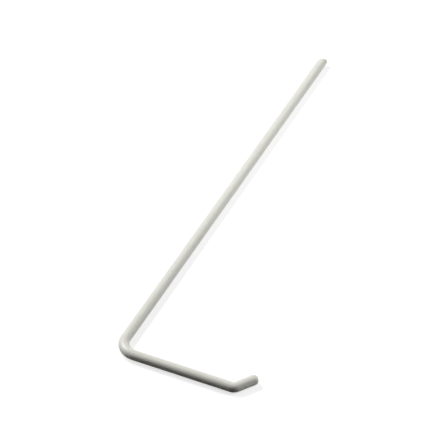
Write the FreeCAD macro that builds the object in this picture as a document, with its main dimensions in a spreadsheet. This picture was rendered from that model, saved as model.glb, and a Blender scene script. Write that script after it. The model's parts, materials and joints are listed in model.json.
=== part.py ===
"""Cell spreader: one moulded plastic rod, bent at a corner into a handle and a
short blade, with the last few millimetres of the blade turned up.

It lies flat.  The handle runs along +Y, the blade leaves the corner towards
+X, and the tip turns back towards the handle's side.  All lengths are in
millimetres and all angles in degrees.
"""
import FreeCAD, Part
import os

import Sketcher
from FreeCAD import Placement, Vector

os.makedirs("parts", exist_ok=True)
doc = FreeCAD.newDocument("CellSpreader")

# Driving dimensions.  Lengths are taken along the rod's axis, and the corners
# are the points where the straight stretches of that axis would meet.
SIZES = [
    ("rod_diameter", 3.0, "thickness of the rod, all the way along"),
    ("handle_length", 149.1, "corner to the longest point of the handle"),
    ("blade_length", 35.8, "corner to the corner of the tip"),
    ("tip_length", 7.4, "corner of the tip to its end"),
    ("corner_angle", 90.0, "between the handle and the blade"),
    ("corner_radius", 5.2, "bend between the handle and the blade, to the axis"),
    ("tip_turn", 54.0, "how far the tip turns away from the blade's line"),
    ("tip_radius", 1.8, "bend between the blade and the tip, to the axis"),
    ("handle_end_slant", 30.0, "slant of the handle's end off square"),
    ("handle_end_rounding", 0.3, "rounding of the handle's end"),
    ("tip_end_rounding", 1.1, "rounding of the tip's end"),
]


def size_sheet():
    """Write the driving dimensions into a spreadsheet, one alias each."""
    sheet = doc.addObject("Spreadsheet::Sheet", "Sizes")
    for row, (alias, value, note) in enumerate(SIZES, start=1):
        sheet.set(f"A{row}", alias)
        sheet.set(f"B{row}", str(value))
        sheet.set(f"C{row}", note)
        sheet.setAlias(f"B{row}", alias)
    doc.recompute()
    return sheet


def origin_plane(body, role):
    """Return one of the body's own origin planes."""
    planes = [item for item in body.Origin.OriginFeatures if item.Role == role]
    return planes[0]


def new_sketch(body, name, role):
    """Start a sketch on one of the body's origin planes."""
    sketch = body.newObject("Sketcher::SketchObject", name)
    sketch.AttachmentSupport = (origin_plane(body, role), [""])
    sketch.MapMode = "FlatFace"
    return sketch


def drive(sketch, name, constraint, formula):
    """Add a dimension to a sketch and bind it to a formula of the sheet."""
    index = sketch.addConstraint(constraint)
    sketch.renameConstraint(index, name)
    sketch.setExpression(f"Constraints.{name}", formula)


# Sketcher's own numbers for its fixed geometry and for the ends of a curve.
ROOT = -1
H_AXIS = -1
V_AXIS = -2
START = 1
END = 2
CENTRE = 3


def rod_path(body, sizes):
    """Draw the rod's axis: handle, corner, blade, tip bend and tip.

    The handle lies on the vertical axis, and the blade's line passes through
    the sketch's origin, so the origin is the corner of the axis.
    """
    path = new_sketch(body, "RodPath", "XY_Plane")
    stock_end = sizes.handle_length + sizes.rod_diameter
    bend = sizes.corner_radius
    turn = sizes.tip_radius
    blade_end = sizes.blade_length - turn / 2
    tip_x = sizes.blade_length + sizes.tip_length / 2
    tip_y = sizes.tip_length

    def line(x_start, y_start, x_end, y_end):
        ends = (Vector(x_start, y_start, 0), Vector(x_end, y_end, 0))
        return path.addGeometry(Part.LineSegment(*ends), False)

    def arc(x_centre, y_centre, radius, first, last):
        circle = Part.Circle(Vector(x_centre, y_centre, 0), Vector(0, 0, 1), radius)
        return path.addGeometry(Part.ArcOfCircle(circle, first, last), False)

    handle = line(0, stock_end, 0, bend)
    corner = arc(bend, bend, bend, 3.1, 4.7)
    blade = line(bend, 0, blade_end, 0)
    tip_bend = arc(blade_end, turn, turn, 4.7, 5.6)
    tip = line(sizes.blade_length + turn / 2, turn / 2, tip_x, tip_y)
    tip_corner = path.addGeometry(Part.Point(Vector(sizes.blade_length, 0, 0)), True)

    add = path.addConstraint
    add(Sketcher.Constraint("PointOnObject", handle, START, V_AXIS))
    add(Sketcher.Constraint("PointOnObject", handle, END, V_AXIS))
    add(Sketcher.Constraint("Tangent", handle, END, corner, START))
    add(Sketcher.Constraint("Tangent", corner, END, blade, START))
    add(Sketcher.Constraint("Tangent", blade, END, tip_bend, START))
    add(Sketcher.Constraint("Tangent", tip_bend, END, tip, START))
    add(Sketcher.Constraint("PointOnObject", ROOT, START, blade))
    add(Sketcher.Constraint("PointOnObject", tip_corner, START, blade))
    add(Sketcher.Constraint("PointOnObject", tip_corner, START, tip))

    drive(path, "stock",
          Sketcher.Constraint("DistanceY", ROOT, START, handle, START, stock_end),
          "Sizes.handle_length + Sizes.rod_diameter")
    drive(path, "bend", Sketcher.Constraint("Radius", corner, bend),
          "Sizes.corner_radius")
    drive(path, "slope", Sketcher.Constraint("Angle", blade, 0.0),
          "90 - Sizes.corner_angle")
    drive(path, "reach",
          Sketcher.Constraint("Distance", ROOT, START, tip_corner, START,
                              sizes.blade_length),
          "Sizes.blade_length")
    drive(path, "turn", Sketcher.Constraint("Radius", tip_bend, turn),
          "Sizes.tip_radius")
    drive(path, "rise", Sketcher.Constraint("Angle", tip, 0.9),
          "90 - Sizes.corner_angle + Sizes.tip_turn")
    drive(path, "point",
          Sketcher.Constraint("Distance", tip_corner, START, tip, END,
                              sizes.tip_length),
          "Sizes.tip_length")
    return path


def rod_section(body, sizes):
    """Draw the rod's round section square across the start of the path."""
    section = new_sketch(body, "RodSection", "XZ_Plane")
    section.setExpression("AttachmentOffset.Base.z",
                          "-(Sizes.handle_length + Sizes.rod_diameter)")
    circle = Part.Circle(Vector(0, 0, 0), Vector(0, 0, 1), sizes.rod_diameter / 2)
    rim = section.addGeometry(circle, False)
    section.addConstraint(Sketcher.Constraint("Coincident", rim, CENTRE, ROOT, START))
    drive(section, "thickness",
          Sketcher.Constraint("Diameter", rim, sizes.rod_diameter),
          "Sizes.rod_diameter")
    return section


def end_cut(body, sizes):
    """Draw what is trimmed off the handle: all above a slanted line.

    The line meets the rod's blade side at the handle's full length, and the
    sketch reaches one rod diameter past the rod on every other side.
    """
    cut = new_sketch(body, "HandleEndCut", "XY_Plane")
    side = sizes.rod_diameter
    low = sizes.handle_length
    high = sizes.handle_length + 2 * side
    corners = [Vector(-side, low, 0), Vector(side, low + 1, 0),
               Vector(side, high, 0), Vector(-side, high, 0)]
    lines = []
    for first, last in zip(corners, corners[1:] + corners[:1]):
        lines.append(cut.addGeometry(Part.LineSegment(first, last), False))
    for first, last in zip(lines, lines[1:] + lines[:1]):
        cut.addConstraint(Sketcher.Constraint("Coincident", first, END, last, START))
    slant, right, top, left = lines
    longest = cut.addGeometry(Part.Point(Vector(side / 2, low, 0)), True)

    cut.addConstraint(Sketcher.Constraint("Vertical", right))
    cut.addConstraint(Sketcher.Constraint("Horizontal", top))
    cut.addConstraint(Sketcher.Constraint("Vertical", left))
    cut.addConstraint(Sketcher.Constraint("PointOnObject", longest, START, slant))
    drive(cut, "angle", Sketcher.Constraint("Angle", slant, 0.3),
          "Sizes.handle_end_slant")
    drive(cut, "edge",
          Sketcher.Constraint("DistanceX", ROOT, START, longest, START, side / 2),
          "Sizes.rod_diameter / 2")
    drive(cut, "full_length",
          Sketcher.Constraint("DistanceY", ROOT, START, longest, START, low),
          "Sizes.handle_length")
    drive(cut, "past_right",
          Sketcher.Constraint("DistanceX", ROOT, START, top, START, side),
          "Sizes.rod_diameter")
    drive(cut, "past_left",
          Sketcher.Constraint("DistanceX", top, END, ROOT, START, side),
          "Sizes.rod_diameter")
    drive(cut, "past_end",
          Sketcher.Constraint("DistanceY", ROOT, START, top, START, high),
          "Sizes.handle_length + 2 * Sizes.rod_diameter")
    return cut


def flat_end_rims(shape):
    """Return the rim edge names of the two flat ends: handle first, then tip."""
    flats = [face for face in shape.Faces if isinstance(face.Surface, Part.Plane)]
    flats.sort(key=lambda face: face.CenterOfMass.y, reverse=True)
    rims = []
    for face in flats:
        names = []
        for number, edge in enumerate(shape.Edges, start=1):
            if any(edge.isSame(rim) for rim in face.Edges):
                names.append(f"Edge{number}")
        rims.append(names)
    return rims


def round_end(body, name, base, rim, formula):
    """Round the rim of one flat end."""
    fillet = body.newObject("PartDesign::Fillet", name)
    fillet.Base = (base, rim)
    fillet.setExpression("Radius", formula)
    doc.recompute()
    return fillet


def cell_spreader(sizes):
    """Sweep the rod, trim the handle's end on a slant and round both ends."""
    body = doc.addObject("PartDesign::Body", "CellSpreader")
    body.Label = "cell_spreader"
    path = rod_path(body, sizes)
    section = rod_section(body, sizes)
    doc.recompute()

    rod = body.newObject("PartDesign::AdditivePipe", "Rod")
    rod.Profile = section
    rod.Spine = (path, [f"Edge{number}" for number in range(1, 6)])
    doc.recompute()

    trim = body.newObject("PartDesign::Pocket", "HandleEnd")
    trim.Profile = end_cut(body, sizes)
    trim.Type = "ThroughAll"
    trim.Midplane = True
    doc.recompute()

    handle_rim, _ = flat_end_rims(trim.Shape)
    handle_end = round_end(body, "HandleEndRounding", trim, handle_rim,
                           "Sizes.handle_end_rounding")
    _, tip_rim = flat_end_rims(handle_end.Shape)
    round_end(body, "TipEndRounding", handle_end, tip_rim,
              "Sizes.tip_end_rounding")
    return body


def lay_on_table(body):
    """Move the body so that its box stands on z = 0, centred on the z axis."""
    box = body.Shape.optimalBoundingBox(False, False)
    body.Placement = Placement(Vector(-box.Center.x, -box.Center.y, -box.ZMin),
                               FreeCAD.Rotation())
    doc.recompute()


def check_document():
    """Stop if any object of the document failed to build."""
    for item in doc.Objects:
        if "Invalid" in item.State or "Error" in item.State:
            raise RuntimeError(f"{item.Label} did not build: {item.State}")
        shape = getattr(item, "Shape", None)
        if shape is not None and (shape.isNull() or not shape.isValid()):
            raise RuntimeError(f"{item.Label} has no valid shape")


sizes = size_sheet()
spreader = cell_spreader(sizes)
lay_on_table(spreader)
check_document()
spreader.Shape.exportStep(os.path.join("parts", spreader.Label + ".step"))

box = spreader.Shape.optimalBoundingBox(False, False)
print(f"{spreader.Label}: {len(spreader.Shape.Solids)} solid, "
      f"{spreader.Shape.Volume:.1f} mm3, "
      f"{box.XLength:.2f} x {box.YLength:.2f} x {box.ZLength:.2f} mm")
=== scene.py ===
# %% [markdown]
# # A cell spreader
#
# The object is one slim rod of off-white plastic, moulded in a single shot: a
# long straight handle, a short blade at a right angle to it, and a blunt tip
# that turns back. It lies flat on a table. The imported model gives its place
# and its size. This script carries a profile along the rod's own axis to get
# a smooth surface, gives it a moulded-plastic finish, and lights it softly.
#
# Blender works in metres. A millimetre is a value of its own here, so that
# every length is written as it would stand in a drawing.

import bpy
import json
import math
import numpy as np
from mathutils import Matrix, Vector


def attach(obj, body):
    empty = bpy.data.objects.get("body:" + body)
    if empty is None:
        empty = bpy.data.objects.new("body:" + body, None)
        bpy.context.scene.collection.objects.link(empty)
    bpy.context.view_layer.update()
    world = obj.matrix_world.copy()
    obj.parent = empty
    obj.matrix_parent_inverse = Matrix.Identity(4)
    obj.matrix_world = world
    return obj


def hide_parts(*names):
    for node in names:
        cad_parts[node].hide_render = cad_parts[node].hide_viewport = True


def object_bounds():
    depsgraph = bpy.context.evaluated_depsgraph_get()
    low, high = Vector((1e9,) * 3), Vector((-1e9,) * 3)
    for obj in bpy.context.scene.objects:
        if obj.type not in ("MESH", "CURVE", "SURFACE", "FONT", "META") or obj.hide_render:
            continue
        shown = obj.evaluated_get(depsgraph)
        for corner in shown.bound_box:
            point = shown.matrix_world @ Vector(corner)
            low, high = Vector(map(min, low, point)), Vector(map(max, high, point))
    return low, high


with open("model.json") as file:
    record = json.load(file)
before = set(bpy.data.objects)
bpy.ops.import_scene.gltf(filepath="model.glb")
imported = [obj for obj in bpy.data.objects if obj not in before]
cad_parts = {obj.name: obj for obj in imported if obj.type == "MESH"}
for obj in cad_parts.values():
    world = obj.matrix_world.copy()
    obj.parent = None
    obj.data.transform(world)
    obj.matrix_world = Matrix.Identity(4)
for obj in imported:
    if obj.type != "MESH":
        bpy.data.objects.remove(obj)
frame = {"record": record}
cad_low, cad_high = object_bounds()
MM = 0.001


def in_mm(lengths):
    """Lengths in millimetres, rounded for printing."""
    return [round(float(length) / MM, 2) for length in lengths]


print("CAD box, mm:", in_mm(cad_high - cad_low))

# %% [markdown]
# ## Sizes
#
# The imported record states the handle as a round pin, and that gives the rod's
# radius. The handle lies along the box's low side in x and the blade along its
# low side in y, each with its axis one radius in. The other sizes are the
# part's own driving dimensions.

# %% Sizes of the rod
handle_mount = frame["record"]["mounts"][0]
ROD_RADIUS = handle_mount["dims"]["r_mm"] * MM
HANDLE_AXIS_X = cad_low.x + ROD_RADIUS
BLADE_AXIS_Y = cad_low.y + ROD_RADIUS
ROD_AXIS_Z = cad_low.z + ROD_RADIUS

BLADE_LENGTH = 35.8 * MM
TIP_LENGTH = 7.4 * MM
CORNER_RADIUS = 5.2 * MM
CORNER_TURN = math.radians(90.0)
TIP_RADIUS = 1.8 * MM
TIP_TURN = math.radians(54.0)
HANDLE_END_SLANT = math.radians(30.0)
HANDLE_END_ROUNDING = 0.3 * MM
TIP_END_ROUNDING = 1.1 * MM
print("radius, blade, tip, mm:", in_mm([ROD_RADIUS, BLADE_LENGTH, TIP_LENGTH]))

# %% [markdown]
# ## The camera
#
# A long lens from about two thirds of a metre away, looking down at about 41
# degrees, keeps the handle nearly as thick at its far end as at the corner.
# The camera looks at a point beside the middle of the handle, level with the
# rod's axis.

# %% Camera
CAMERA_AZIMUTH = math.radians(24.67)
CAMERA_ELEVATION = math.radians(40.83)
CAMERA_DISTANCE = 656.0 * MM
CAMERA_LENS = 177.2
CAMERA_SEES_TO = 10.0
CAMERA_TARGET = Vector((-15.33, -12.24, 1.5)) * MM


def from_angles(azimuth, elevation):
    """Unit vector towards a place seen at that azimuth and elevation.

    Azimuth 0 is the -Y side and grows towards +X; elevation is above level.
    """
    level = math.cos(elevation)
    return Vector((level * math.sin(azimuth), -level * math.cos(azimuth),
                   math.sin(elevation)))


def aim(thing, place, target):
    """Put a camera or lamp at a place, looking at a target."""
    thing.location = place
    thing.rotation_euler = (target - place).to_track_quat("-Z", "Y").to_euler()


camera_data = bpy.data.cameras.new("camera")
camera_data.lens = CAMERA_LENS
camera_data.clip_end = CAMERA_SEES_TO
camera = bpy.data.objects.new("camera", camera_data)
bpy.context.scene.collection.objects.link(camera)
view_direction = from_angles(CAMERA_AZIMUTH, CAMERA_ELEVATION)
aim(camera, CAMERA_TARGET + view_direction * CAMERA_DISTANCE, CAMERA_TARGET)
bpy.context.scene.camera = camera
print("camera at, mm:", in_mm(camera.location))

# %% [markdown]
# ## The rod's axis
#
# The axis is five stretches: handle, corner, blade, tip bend and tip. Each is
# a length and an angle that it turns through, and a straight stretch turns
# through nothing. A stretch of length s that turns evenly through an angle a
# ends at a chord of length s sin(a/2) / (a/2), pointing along the mean of its
# first and last headings. That one formula covers lines and arcs alike, so
# the whole axis is worked out with no special cases.

# %% The five stretches
corner_reach = CORNER_RADIUS * math.tan(CORNER_TURN / 2)
tip_reach = TIP_RADIUS * math.tan(TIP_TURN / 2)
# The slanted end reaches furthest at its rim. The middle of the rim's rounding
# slides by its distance from the axis times the slant's tangent, and the
# rounding, slanted too, reaches 1 / cos(slant) times as far as before.
end_overhang = ((ROD_RADIUS - HANDLE_END_ROUNDING) * math.tan(HANDLE_END_SLANT)
                + HANDLE_END_ROUNDING * (1 / math.cos(HANDLE_END_SLANT) - 1))
handle_centre = cad_high.y - BLADE_AXIS_Y - end_overhang

STRETCHES = [
    # name, length, angle turned through, steps
    ("handle", handle_centre - corner_reach, 0.0, 90),
    ("corner", CORNER_RADIUS * CORNER_TURN, CORNER_TURN, 40),
    ("blade", BLADE_LENGTH - corner_reach - tip_reach, 0.0, 40),
    ("tip bend", TIP_RADIUS * TIP_TURN, TIP_TURN, 20),
    ("tip", TIP_LENGTH - tip_reach, 0.0, 16),
]
DOWN_THE_HANDLE = -math.pi / 2


def rod_axis():
    """Points, headings and distances along the rod's axis.

    Within a stretch, the point at distance s is the start plus a chord of
    length s sinc(a/2) along the start's heading plus a/2, where a is the
    angle turned so far, in proportion to s.
    """
    start = np.array([HANDLE_AXIS_X, BLADE_AXIS_Y + handle_centre])
    heading = DOWN_THE_HANDLE
    travelled = 0.0
    points, headings, distances = [start[None]], [[heading]], [[0.0]]
    for _, length, turn, steps in STRETCHES:
        share = np.arange(1, steps + 1) / steps
        angle = turn * share
        chord = length * share * np.sinc(angle / (2 * math.pi))
        along = heading + angle / 2
        towards = np.stack([np.cos(along), np.sin(along)], 1)
        run = start + chord[:, None] * towards
        points.append(run)
        headings.append(heading + angle)
        distances.append(travelled + length * share)
        start = run[-1]
        heading += turn
        travelled += length
    return (np.concatenate(points), np.concatenate(headings),
            np.concatenate(distances))


axis_points, axis_headings, axis_distances = rod_axis()
print("axis:", len(axis_points), "stations over",
      round(axis_distances[-1] / MM, 2), "mm")

# %% [markdown]
# ## The ends
#
# Each end is a flat disc whose rim is rounded. Its profile is a quarter circle
# from the rod's side to the disc, then straight in to the middle. The handle's
# disc is also slanted: every point moves along the rod in proportion to how
# far it lies to the side. Sliding a cylinder's points along the cylinder
# doesn't change it, so the slide can fade out over the next few millimetres.

# %% Profiles of the two ends
ROUNDING_STEPS = 14
DISC_STEPS = 5
CLEAR_OF_ROUNDING = 1.5


def end_profile(rounding):
    """Radius and distance from the end's flat, from the rod's side inwards.

    A quarter circle of the rounding's radius, then straight to the middle.
    """
    angle = np.linspace(0, math.pi / 2, ROUNDING_STEPS)
    radius = ROD_RADIUS - rounding + rounding * np.cos(angle)
    depth = rounding - rounding * np.sin(angle)
    disc = np.linspace(radius[-1], 0, DISC_STEPS + 1)[1:]
    return np.append(radius, disc), np.append(depth, np.zeros(DISC_STEPS))


def rod_stations():
    """Axis stations with their radius, both ends folded in.

    The stations that an end's rounding takes up are dropped, a little past
    its edge, and the end's own profile takes their place.
    """
    head_radius, head_depth = end_profile(HANDLE_END_ROUNDING)
    tail_radius, tail_depth = end_profile(TIP_END_ROUNDING)
    total = axis_distances[-1]
    past_head = axis_distances > HANDLE_END_ROUNDING * CLEAR_OF_ROUNDING
    before_tail = axis_distances < total - TIP_END_ROUNDING * CLEAR_OF_ROUNDING
    kept = axis_distances[past_head & before_tail]
    distance = np.concatenate([head_depth[::-1], kept, total - tail_depth])
    radius = np.concatenate([head_radius[::-1], np.full(len(kept), ROD_RADIUS),
                             tail_radius])
    heading = np.interp(distance, axis_distances, axis_headings)
    centre = np.stack([np.interp(distance, axis_distances, values)
                       for values in axis_points.T], 1)
    return distance, centre, heading, radius


distance, centre, heading, radius = rod_stations()
print("stations with the ends:", len(distance))

# %% [markdown]
# ## The section
#
# A mould has two halves, and they meet along the rod's two sides, level with
# its axis. The plastic follows that joint as a hairline ridge. The ridge is a
# narrow bell curve round each side, and the section is drawn in by the same
# height there, so the crest stays at the rod's true radius. The columns are
# crowded towards the ridges. At the corner the moulding is a little thicker
# across the bend than the straight rod, more on its inner side.

# %% Sweep the section along the axis
COLUMNS = 128
CROWDING = 0.75
SEAM_HEIGHT = 0.022 * MM
SEAM_WIDTH = 0.07 * MM
INNER_FILL = 0.15 * MM
OUTER_FILL = 0.08 * MM
SLANT_FADE = 12.0 * MM

stretch_length = {name: length for name, length, _, _ in STRETCHES}


def around():
    """Angles round the section, from below, crowded near both sides.

    An even angle a is moved to a - c sin(2a) / 2. That shrinks the steps to
    1 - c of their size at the two sides and grows them to 1 + c between.
    """
    even = np.arange(COLUMNS) / COLUMNS * 2 * math.pi - math.pi / 2
    return even - CROWDING * np.sin(2 * even) / 2


def seam_ridge(angle):
    """Height over the plain round section, as a share of the ridge's height.

    A bell curve of the arc length from the nearest side, less the squared
    cosine that draws the section in.
    """
    off_side = np.arcsin(np.sin(angle)) * ROD_RADIUS
    return np.exp(-((off_side / SEAM_WIDTH) ** 2)) - np.cos(angle) ** 2


def corner_swell():
    """Share of the corner's fill at each station.

    The squared sine of half a turn over the corner's length, and 0 elsewhere.
    """
    past_start = distance - stretch_length["handle"]
    share = np.clip(past_start / stretch_length["corner"], 0, 1)
    return np.sin(math.pi * share) ** 2


def sweep():
    """Grid of points: one row per station, one column per angle.

    A point is the centre, plus cos(angle) times the reach to the side, plus
    sin(angle) times the reach upwards, slid along the rod at the slanted end.
    """
    angle = around()[None, :]
    full = (radius / ROD_RADIUS)[:, None]
    reach = radius[:, None] + SEAM_HEIGHT * seam_ridge(angle) * full
    fill = (np.where(np.cos(angle) > 0, INNER_FILL, OUTER_FILL)
            * corner_swell()[:, None])
    side = (reach + fill * np.abs(np.cos(angle)) * full) * np.cos(angle)
    up = reach * np.sin(angle)
    fade = np.clip(1 - distance / SLANT_FADE, 0, 1)[:, None]
    slide = -side * math.tan(HANDLE_END_SLANT) * fade
    along = np.stack([np.cos(heading), np.sin(heading)], 1)[:, None, :]
    across = np.stack([-np.sin(heading), np.cos(heading)], 1)[:, None, :]
    flat = (centre[:, None, :] + side[..., None] * across
            + slide[..., None] * along)
    return np.concatenate([flat, ROD_AXIS_Z + up[..., None]], 2)


grid = sweep()
print("grid:", grid.shape[0], "rows,", grid.shape[1], "columns")

# %% [markdown]
# ## The mesh
#
# The rows between the two ends become rings of shared vertices that close on
# themselves, so there is no seam. The first and last rows have shrunk to a
# point, and each becomes one pole vertex with a fan of triangles. The UV map
# holds real lengths: distance along the rod, and arc length round it.

# %% Build the rod's mesh


def ring_faces(rings):
    """Vertex numbers of the quads between neighbouring rings."""
    row = np.arange(rings - 1)[:, None] * COLUMNS
    here = np.arange(COLUMNS)[None, :]
    after = (here + 1) % COLUMNS
    return np.stack([row + here, row + after, row + COLUMNS + after,
                     row + COLUMNS + here], -1).reshape(-1, 4)


def pole_faces(pole, ring_start, flipped):
    """Vertex numbers of the triangles between one pole and its ring."""
    here = np.arange(COLUMNS)
    after = (here + 1) % COLUMNS
    pair = (after, here) if flipped else (here, after)
    return np.stack([np.full(COLUMNS, pole), ring_start + pair[0],
                     ring_start + pair[1]], -1)


def mesh_from_grid(name, points):
    """Make a closed mesh from a grid whose first and last rows are poles."""
    rings = points[1:-1]
    count = len(rings)
    vertices = np.concatenate([rings.reshape(-1, 3), points[:1, 0],
                               points[-1:, 0]])
    head, tail = count * COLUMNS, count * COLUMNS + 1
    faces = (ring_faces(count).tolist()
             + pole_faces(head, 0, True).tolist()
             + pole_faces(tail, (count - 1) * COLUMNS, False).tolist())
    mesh = bpy.data.meshes.new(name)
    mesh.from_pydata(vertices.tolist(), [], faces)
    mesh.polygons.foreach_set("use_smooth", np.ones(len(faces), bool))
    return mesh


def fan_uv(pole, rim, first, second):
    """UV of one pole's triangles, the pole midway between its neighbours."""
    round_it = np.stack([(first + second) / 2, first, second], 1)
    along = np.broadcast_to([pole, rim, rim], round_it.shape)
    return np.stack([along, round_it], -1).reshape(-1, 2)


def corner_uv(distances):
    """Distance along the rod and arc length round it, for every face corner.

    The corners come in the order of ring_faces and pole_faces. The last column
    ends a full turn on from where the first one starts.
    """
    turned = np.append(around(), around()[0] + 2 * math.pi) * ROD_RADIUS
    here, after = turned[:-1], turned[1:]
    ring = distances[1:-1]
    along = np.stack([ring[:-1], ring[:-1], ring[1:], ring[1:]], 1)[:, None, :]
    round_it = np.stack([here, after, after, here], 1)[None, :, :]
    quads = np.stack(np.broadcast_arrays(along, round_it), -1).reshape(-1, 2)
    return np.concatenate([quads, fan_uv(distances[0], ring[0], after, here),
                           fan_uv(distances[-1], ring[-1], here, after)])


rod_mesh = mesh_from_grid("spreader_rod", grid)
rod_uv = rod_mesh.uv_layers.new(name="along_and_round")
rod_uv.data.foreach_set("uv", corner_uv(distance).ravel())
rod_mesh.validate()
rod = bpy.data.objects.new("spreader_rod", rod_mesh)
bpy.context.scene.collection.objects.link(rod)
print("mesh:", len(rod_mesh.vertices), "vertices,",
      len(rod_mesh.polygons), "faces")

# %% [markdown]
# ## Shader maths
#
# Node trees are easier to read as expressions. `Wire` wraps one output socket
# and turns +, - and * into Math nodes, also when the number comes first.
# `Nodes.add` makes any other node from its type, its settings and what goes
# into its sockets. Colours go through a Mix node. It has a set of sockets for
# every kind of data under the same names, so the colour ones go by number.

# %% A small wrapper for node sockets
MIX_FACTOR, MIX_FROM, MIX_TO, MIX_RESULT = 0, 6, 7, 2


class Wire:
    """One output socket whose arithmetic adds Math nodes."""

    def __init__(self, nodes, socket):
        self.nodes = nodes
        self.socket = socket

    def maths(self, operation, first, second):
        """The result of one Math node on two numbers or wires."""
        node = self.nodes.add("ShaderNodeMath", {"operation": operation},
                              {0: first, 1: second})
        return Wire(self.nodes, node.outputs[0])

    def __add__(self, other):
        return self.maths("ADD", self, other)

    def __radd__(self, other):
        return self.maths("ADD", other, self)

    def __sub__(self, other):
        return self.maths("SUBTRACT", self, other)

    def __rsub__(self, other):
        return self.maths("SUBTRACT", other, self)

    def __mul__(self, other):
        return self.maths("MULTIPLY", self, other)

    def __rmul__(self, other):
        return self.maths("MULTIPLY", other, self)

    def smaller(self, other):
        """The smaller of this and the other."""
        return self.maths("MINIMUM", self, other)

    def larger(self, other):
        """The larger of this and the other."""
        return self.maths("MAXIMUM", self, other)


class Nodes:
    """The node tree of one material or world."""

    def __init__(self, owner):
        owner.use_nodes = True
        self.tree = owner.node_tree
        self.tree.nodes.clear()

    def add(self, kind, settings=None, inputs=None):
        """Add a node, set its settings first, then fill its sockets."""
        node = self.tree.nodes.new(kind)
        for name, value in (settings or {}).items():
            setattr(node, name, value)
        for name, value in (inputs or {}).items():
            if isinstance(value, Wire):
                self.tree.links.new(value.socket, node.inputs[name])
            else:
                node.inputs[name].default_value = value
        return node

    def wire(self, node, output=0):
        """One output of a node, ready for an expression."""
        return Wire(self, node.outputs[output])

    def mix(self, factor, start, end):
        """A colour that goes from start to end as the factor goes 0 to 1."""
        node = self.add("ShaderNodeMix", {"data_type": "RGBA"},
                        {MIX_FACTOR: factor, MIX_FROM: start, MIX_TO: end})
        return self.wire(node, MIX_RESULT)


print("shader helpers ready")

# %% [markdown]
# ## The plastic
#
# Off-white plastic with a faint satin gloss. Most of the light comes back from
# within, so the specular level is turned down. The roughness stays above a
# polish, because a polished rod seen nearly end on would mirror the white
# surroundings and fade into them. Three things keep it from looking like a
# flat colour: a faint cloudiness in the colour, flow marks that run along the
# rod where the melt filled the mould, and a shallow unevenness, like an
# orange's peel, a millimetre or two across. The marks and the peel break up
# the sheen. The cloudiness and the peel read Object coordinates, and the flow
# marks read the rod's own UV map, so that they turn with it at the bends. On
# an end face the marks would all run to the middle like spokes, so they fade
# out over the last two millimetres, by the distance along the rod that the UV
# map holds.

# %% Moulded plastic
PLASTIC_LIGHT = (0.825, 0.825, 0.764, 1.0)
PLASTIC_DEEP = (0.740, 0.740, 0.676, 1.0)
PLASTIC_IOR = 1.5
SPECULAR_LEVEL = 0.25
ROUGHNESS_LOW = 0.26
ROUGHNESS_SPREAD = 0.06
CLOUD_SCALE, CLOUD_DETAIL = 90.0, 3.0
PEEL_SCALE, PEEL_DETAIL = 700.0, 2.0
FLOW_STRETCH = (60.0, 1400.0, 1.0)
FLOW_SCALE, FLOW_DETAIL = 1.0, 2.0
FLOW_FADE = 2.0 * MM
NOISE_MEAN = 0.5
CLOUD_IN_COLOUR, MARKS_IN_COLOUR = 0.7, 0.3
PEEL_IN_BUMP, MARKS_IN_BUMP = 0.6, 0.4
BUMP_STRENGTH = 0.5
BUMP_HEIGHT = 0.14 * MM

rod_length = float(distance[-1])


def noise(nodes, place, scale, detail, dimensions="3D"):
    """Soft noise between 0 and 1 at a place."""
    return nodes.wire(nodes.add(
        "ShaderNodeTexNoise", {"noise_dimensions": dimensions},
        {"Vector": place, "Scale": scale, "Detail": detail}))


def flow_marks(nodes, uv):
    """Noise drawn out along the rod, settling to its mean at both ends.

    The noise's difference from its mean is multiplied by the distance to the
    nearer end over the fade's length, or by 1 where that is more than 1.
    """
    drawn_out = nodes.add("ShaderNodeMapping", {},
                          {"Vector": uv, "Scale": FLOW_STRETCH})
    flow = noise(nodes, nodes.wire(drawn_out), FLOW_SCALE, FLOW_DETAIL, "2D")
    along = nodes.wire(nodes.add("ShaderNodeSeparateXYZ", {}, {0: uv}))
    to_end = along.smaller(rod_length - along)
    fade = (to_end * (1 / FLOW_FADE)).smaller(1.0)
    return (flow - NOISE_MEAN) * fade + NOISE_MEAN


def moulded_plastic(name):
    """Off-white, faintly glossy plastic with clouds, flow marks and peel."""
    material = bpy.data.materials.new(name)
    nodes = Nodes(material)
    coordinates = nodes.add("ShaderNodeTexCoord")
    place = nodes.wire(coordinates, "Object")
    cloud = noise(nodes, place, CLOUD_SCALE, CLOUD_DETAIL)
    peel = noise(nodes, place, PEEL_SCALE, PEEL_DETAIL)
    marks = flow_marks(nodes, nodes.wire(coordinates, "UV"))
    colour = nodes.mix(cloud * CLOUD_IN_COLOUR + marks * MARKS_IN_COLOUR,
                       PLASTIC_DEEP, PLASTIC_LIGHT)
    bump = nodes.add("ShaderNodeBump", {},
                     {"Strength": BUMP_STRENGTH, "Distance": BUMP_HEIGHT,
                      "Height": peel * PEEL_IN_BUMP + marks * MARKS_IN_BUMP})
    shader = nodes.add("ShaderNodeBsdfPrincipled", {},
                       {"Base Color": colour,
                        "Roughness": ROUGHNESS_LOW + cloud * ROUGHNESS_SPREAD,
                        "Normal": nodes.wire(bump), "IOR": PLASTIC_IOR,
                        "Specular IOR Level": SPECULAR_LEVEL})
    nodes.add("ShaderNodeOutputMaterial", {}, {"Surface": nodes.wire(shader)})
    return material


rod_mesh.materials.append(moulded_plastic("satin_plastic"))
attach(rod, "root")
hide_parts("cell_spreader")
print("finish:", rod_mesh.materials[0].name)

# %% [markdown]
# ## The floor
#
# The table is a plain pale sheet under white surroundings. The Light Path node
# tells which rays may see them as white: those from the camera, those the
# gloss reflects and those that pass through glass. So the sheet and its
# reflection agree, and the rod's shadow stays on the sheet. The light that
# bounces about meets a dark floor instead, because a white sheet this close
# would throw its light back up and flatten the underside. The lamps reach only
# the middle of the sheet, so its own glow rises towards the rim and no horizon
# shows.

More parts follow.
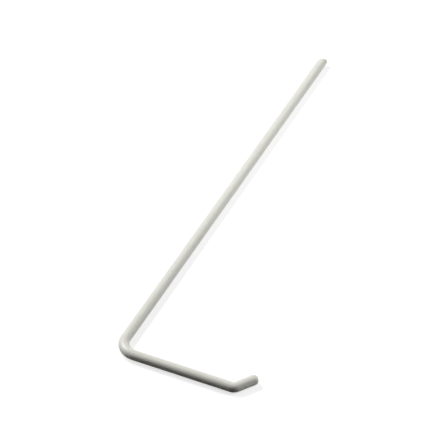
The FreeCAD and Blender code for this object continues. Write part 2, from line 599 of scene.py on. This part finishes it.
# %% Floor and surroundings
FLOOR_HALF = 3.0
FLOOR_SEEN = (0.45, 0.45, 0.45, 1.0)
FLOOR_BOUNCE = (0.016, 0.009, 0.002, 1.0)
GLOW_NEAR = (0.72, 0.72, 0.72, 1.0)
GLOW_FAR = (1.0, 1.0, 1.0, 1.0)
GLOW_RISE_FROM = 0.14
GLOW_RISE_TO = 0.4
WORLD_SEEN = (1.0, 1.0, 1.0, 1.0)
WORLD_LIGHT = (0.002, 0.002, 0.002, 1.0)


def background_mask(nodes):
    """1 for a ray that shows the background, and 0 for one that lights.

    A ray shows it straight to the camera, in a reflection or through glass.
    """
    path = nodes.add("ShaderNodeLightPath")
    straight, mirrored, through = (
        nodes.wire(path, name)
        for name in ("Is Camera Ray", "Is Glossy Ray", "Is Transmission Ray"))
    return straight.larger(mirrored).larger(through)


def floor_sheet():
    """A flat square on the table's level, its corners round its middle."""
    square = [(-1, -1), (1, -1), (1, 1), (-1, 1)]
    corners = [(x * FLOOR_HALF, y * FLOOR_HALF, cad_low.z) for x, y in square]
    mesh = bpy.data.meshes.new("floor")
    mesh.from_pydata(corners, [], [(0, 1, 2, 3)])
    sheet = bpy.data.objects.new("floor", mesh)
    bpy.context.scene.collection.objects.link(sheet)
    return sheet


def floor_material():
    """White where it is seen, with shadows; dark to the light that bounces.

    The glow's colour goes from near to far in proportion to the distance from
    the middle of the sheet.
    """
    material = bpy.data.materials.new("floor")
    nodes = Nodes(material)
    seen = background_mask(nodes)
    colour = nodes.mix(seen, FLOOR_BOUNCE, FLOOR_SEEN)
    paper = nodes.add("ShaderNodeBsdfDiffuse", {}, {"Color": colour})
    place = nodes.wire(nodes.add("ShaderNodeTexCoord"), "Object")
    off_middle = nodes.add("ShaderNodeVectorMath", {"operation": "LENGTH"},
                           {0: place})
    rise = nodes.add("ShaderNodeMapRange", {},
                     {"Value": nodes.wire(off_middle, "Value"),
                      "From Min": GLOW_RISE_FROM, "From Max": GLOW_RISE_TO})
    glow_colour = nodes.mix(nodes.wire(rise), GLOW_NEAR, GLOW_FAR)
    glow = nodes.add("ShaderNodeEmission", {},
                     {"Color": glow_colour, "Strength": seen})
    both = nodes.add("ShaderNodeAddShader", {},
                     {0: nodes.wire(paper), 1: nodes.wire(glow)})
    nodes.add("ShaderNodeOutputMaterial", {}, {"Surface": nodes.wire(both)})
    return material


floor = floor_sheet()
floor.data.materials.append(floor_material())

world = bpy.data.worlds.new("surroundings")
bpy.context.scene.world = world
sky = Nodes(world)
sky_colour = sky.mix(background_mask(sky), WORLD_LIGHT, WORLD_SEEN)
sky_shader = sky.add("ShaderNodeBackground", {}, {"Color": sky_colour})
sky.add("ShaderNodeOutputWorld", {}, {"Surface": sky.wire(sky_shader)})
print("floor and surroundings:", floor.name, "and", world.name)

# %% [markdown]
# ## The lamps
#
# Soft plastic shows its shape through slow changes from light to dark, and
# those need large lamps. One soft box stands to the left, about as high as the
# camera, in line with the blade, so the blade's top is lit and its front
# rounds off into the dark. Two smaller boxes hang close over the handle's
# right side, one above the other, because the handle is the paler arm. A bare
# small lamp, back on the left, adds the glint on the corner. None of the four
# shows itself to the camera, so a view from another side isn't blocked by one.

# %% Soft boxes and a small lamp
HANDLE_LAMPS_Y = 45.0 * MM
middle = (cad_low + cad_high) / 2
corner = Vector((HANDLE_AXIS_X, BLADE_AXIS_Y, ROD_AXIS_Z))
handle_upper = Vector((HANDLE_AXIS_X, HANDLE_LAMPS_Y, ROD_AXIS_Z))

LAMPS = [
    # name, target, azimuth, elevation (degrees), distance, width (m), watts
    ("left_box", middle, 272.0, 38.0, 0.8, 0.45, 4.1),
    ("handle_top", handle_upper, 85.0, 45.0, 0.25, 0.15, 0.142),
    ("handle_right", handle_upper, 90.0, 25.0, 0.2, 0.15, 0.213),
    ("glint_lamp", corner, 241.0, 49.0, 0.7, 0.03, 1.7),
]


def area_lamp(name, target, azimuth, elevation, reach, width, power):
    """A square lamp on a sphere round its target, facing it."""
    data = bpy.data.lights.new(name, "AREA")
    data.shape = "SQUARE"
    data.size = width
    data.energy = power
    lamp = bpy.data.objects.new(name, data)
    bpy.context.scene.collection.objects.link(lamp)
    direction = from_angles(math.radians(azimuth), math.radians(elevation))
    aim(lamp, target + direction * reach, target)
    lamp.visible_camera = False


for lamp_settings in LAMPS:
    area_lamp(*lamp_settings)
bpy.context.scene.view_settings.view_transform = "Standard"
print("lamps:", [settings[0] for settings in LAMPS])
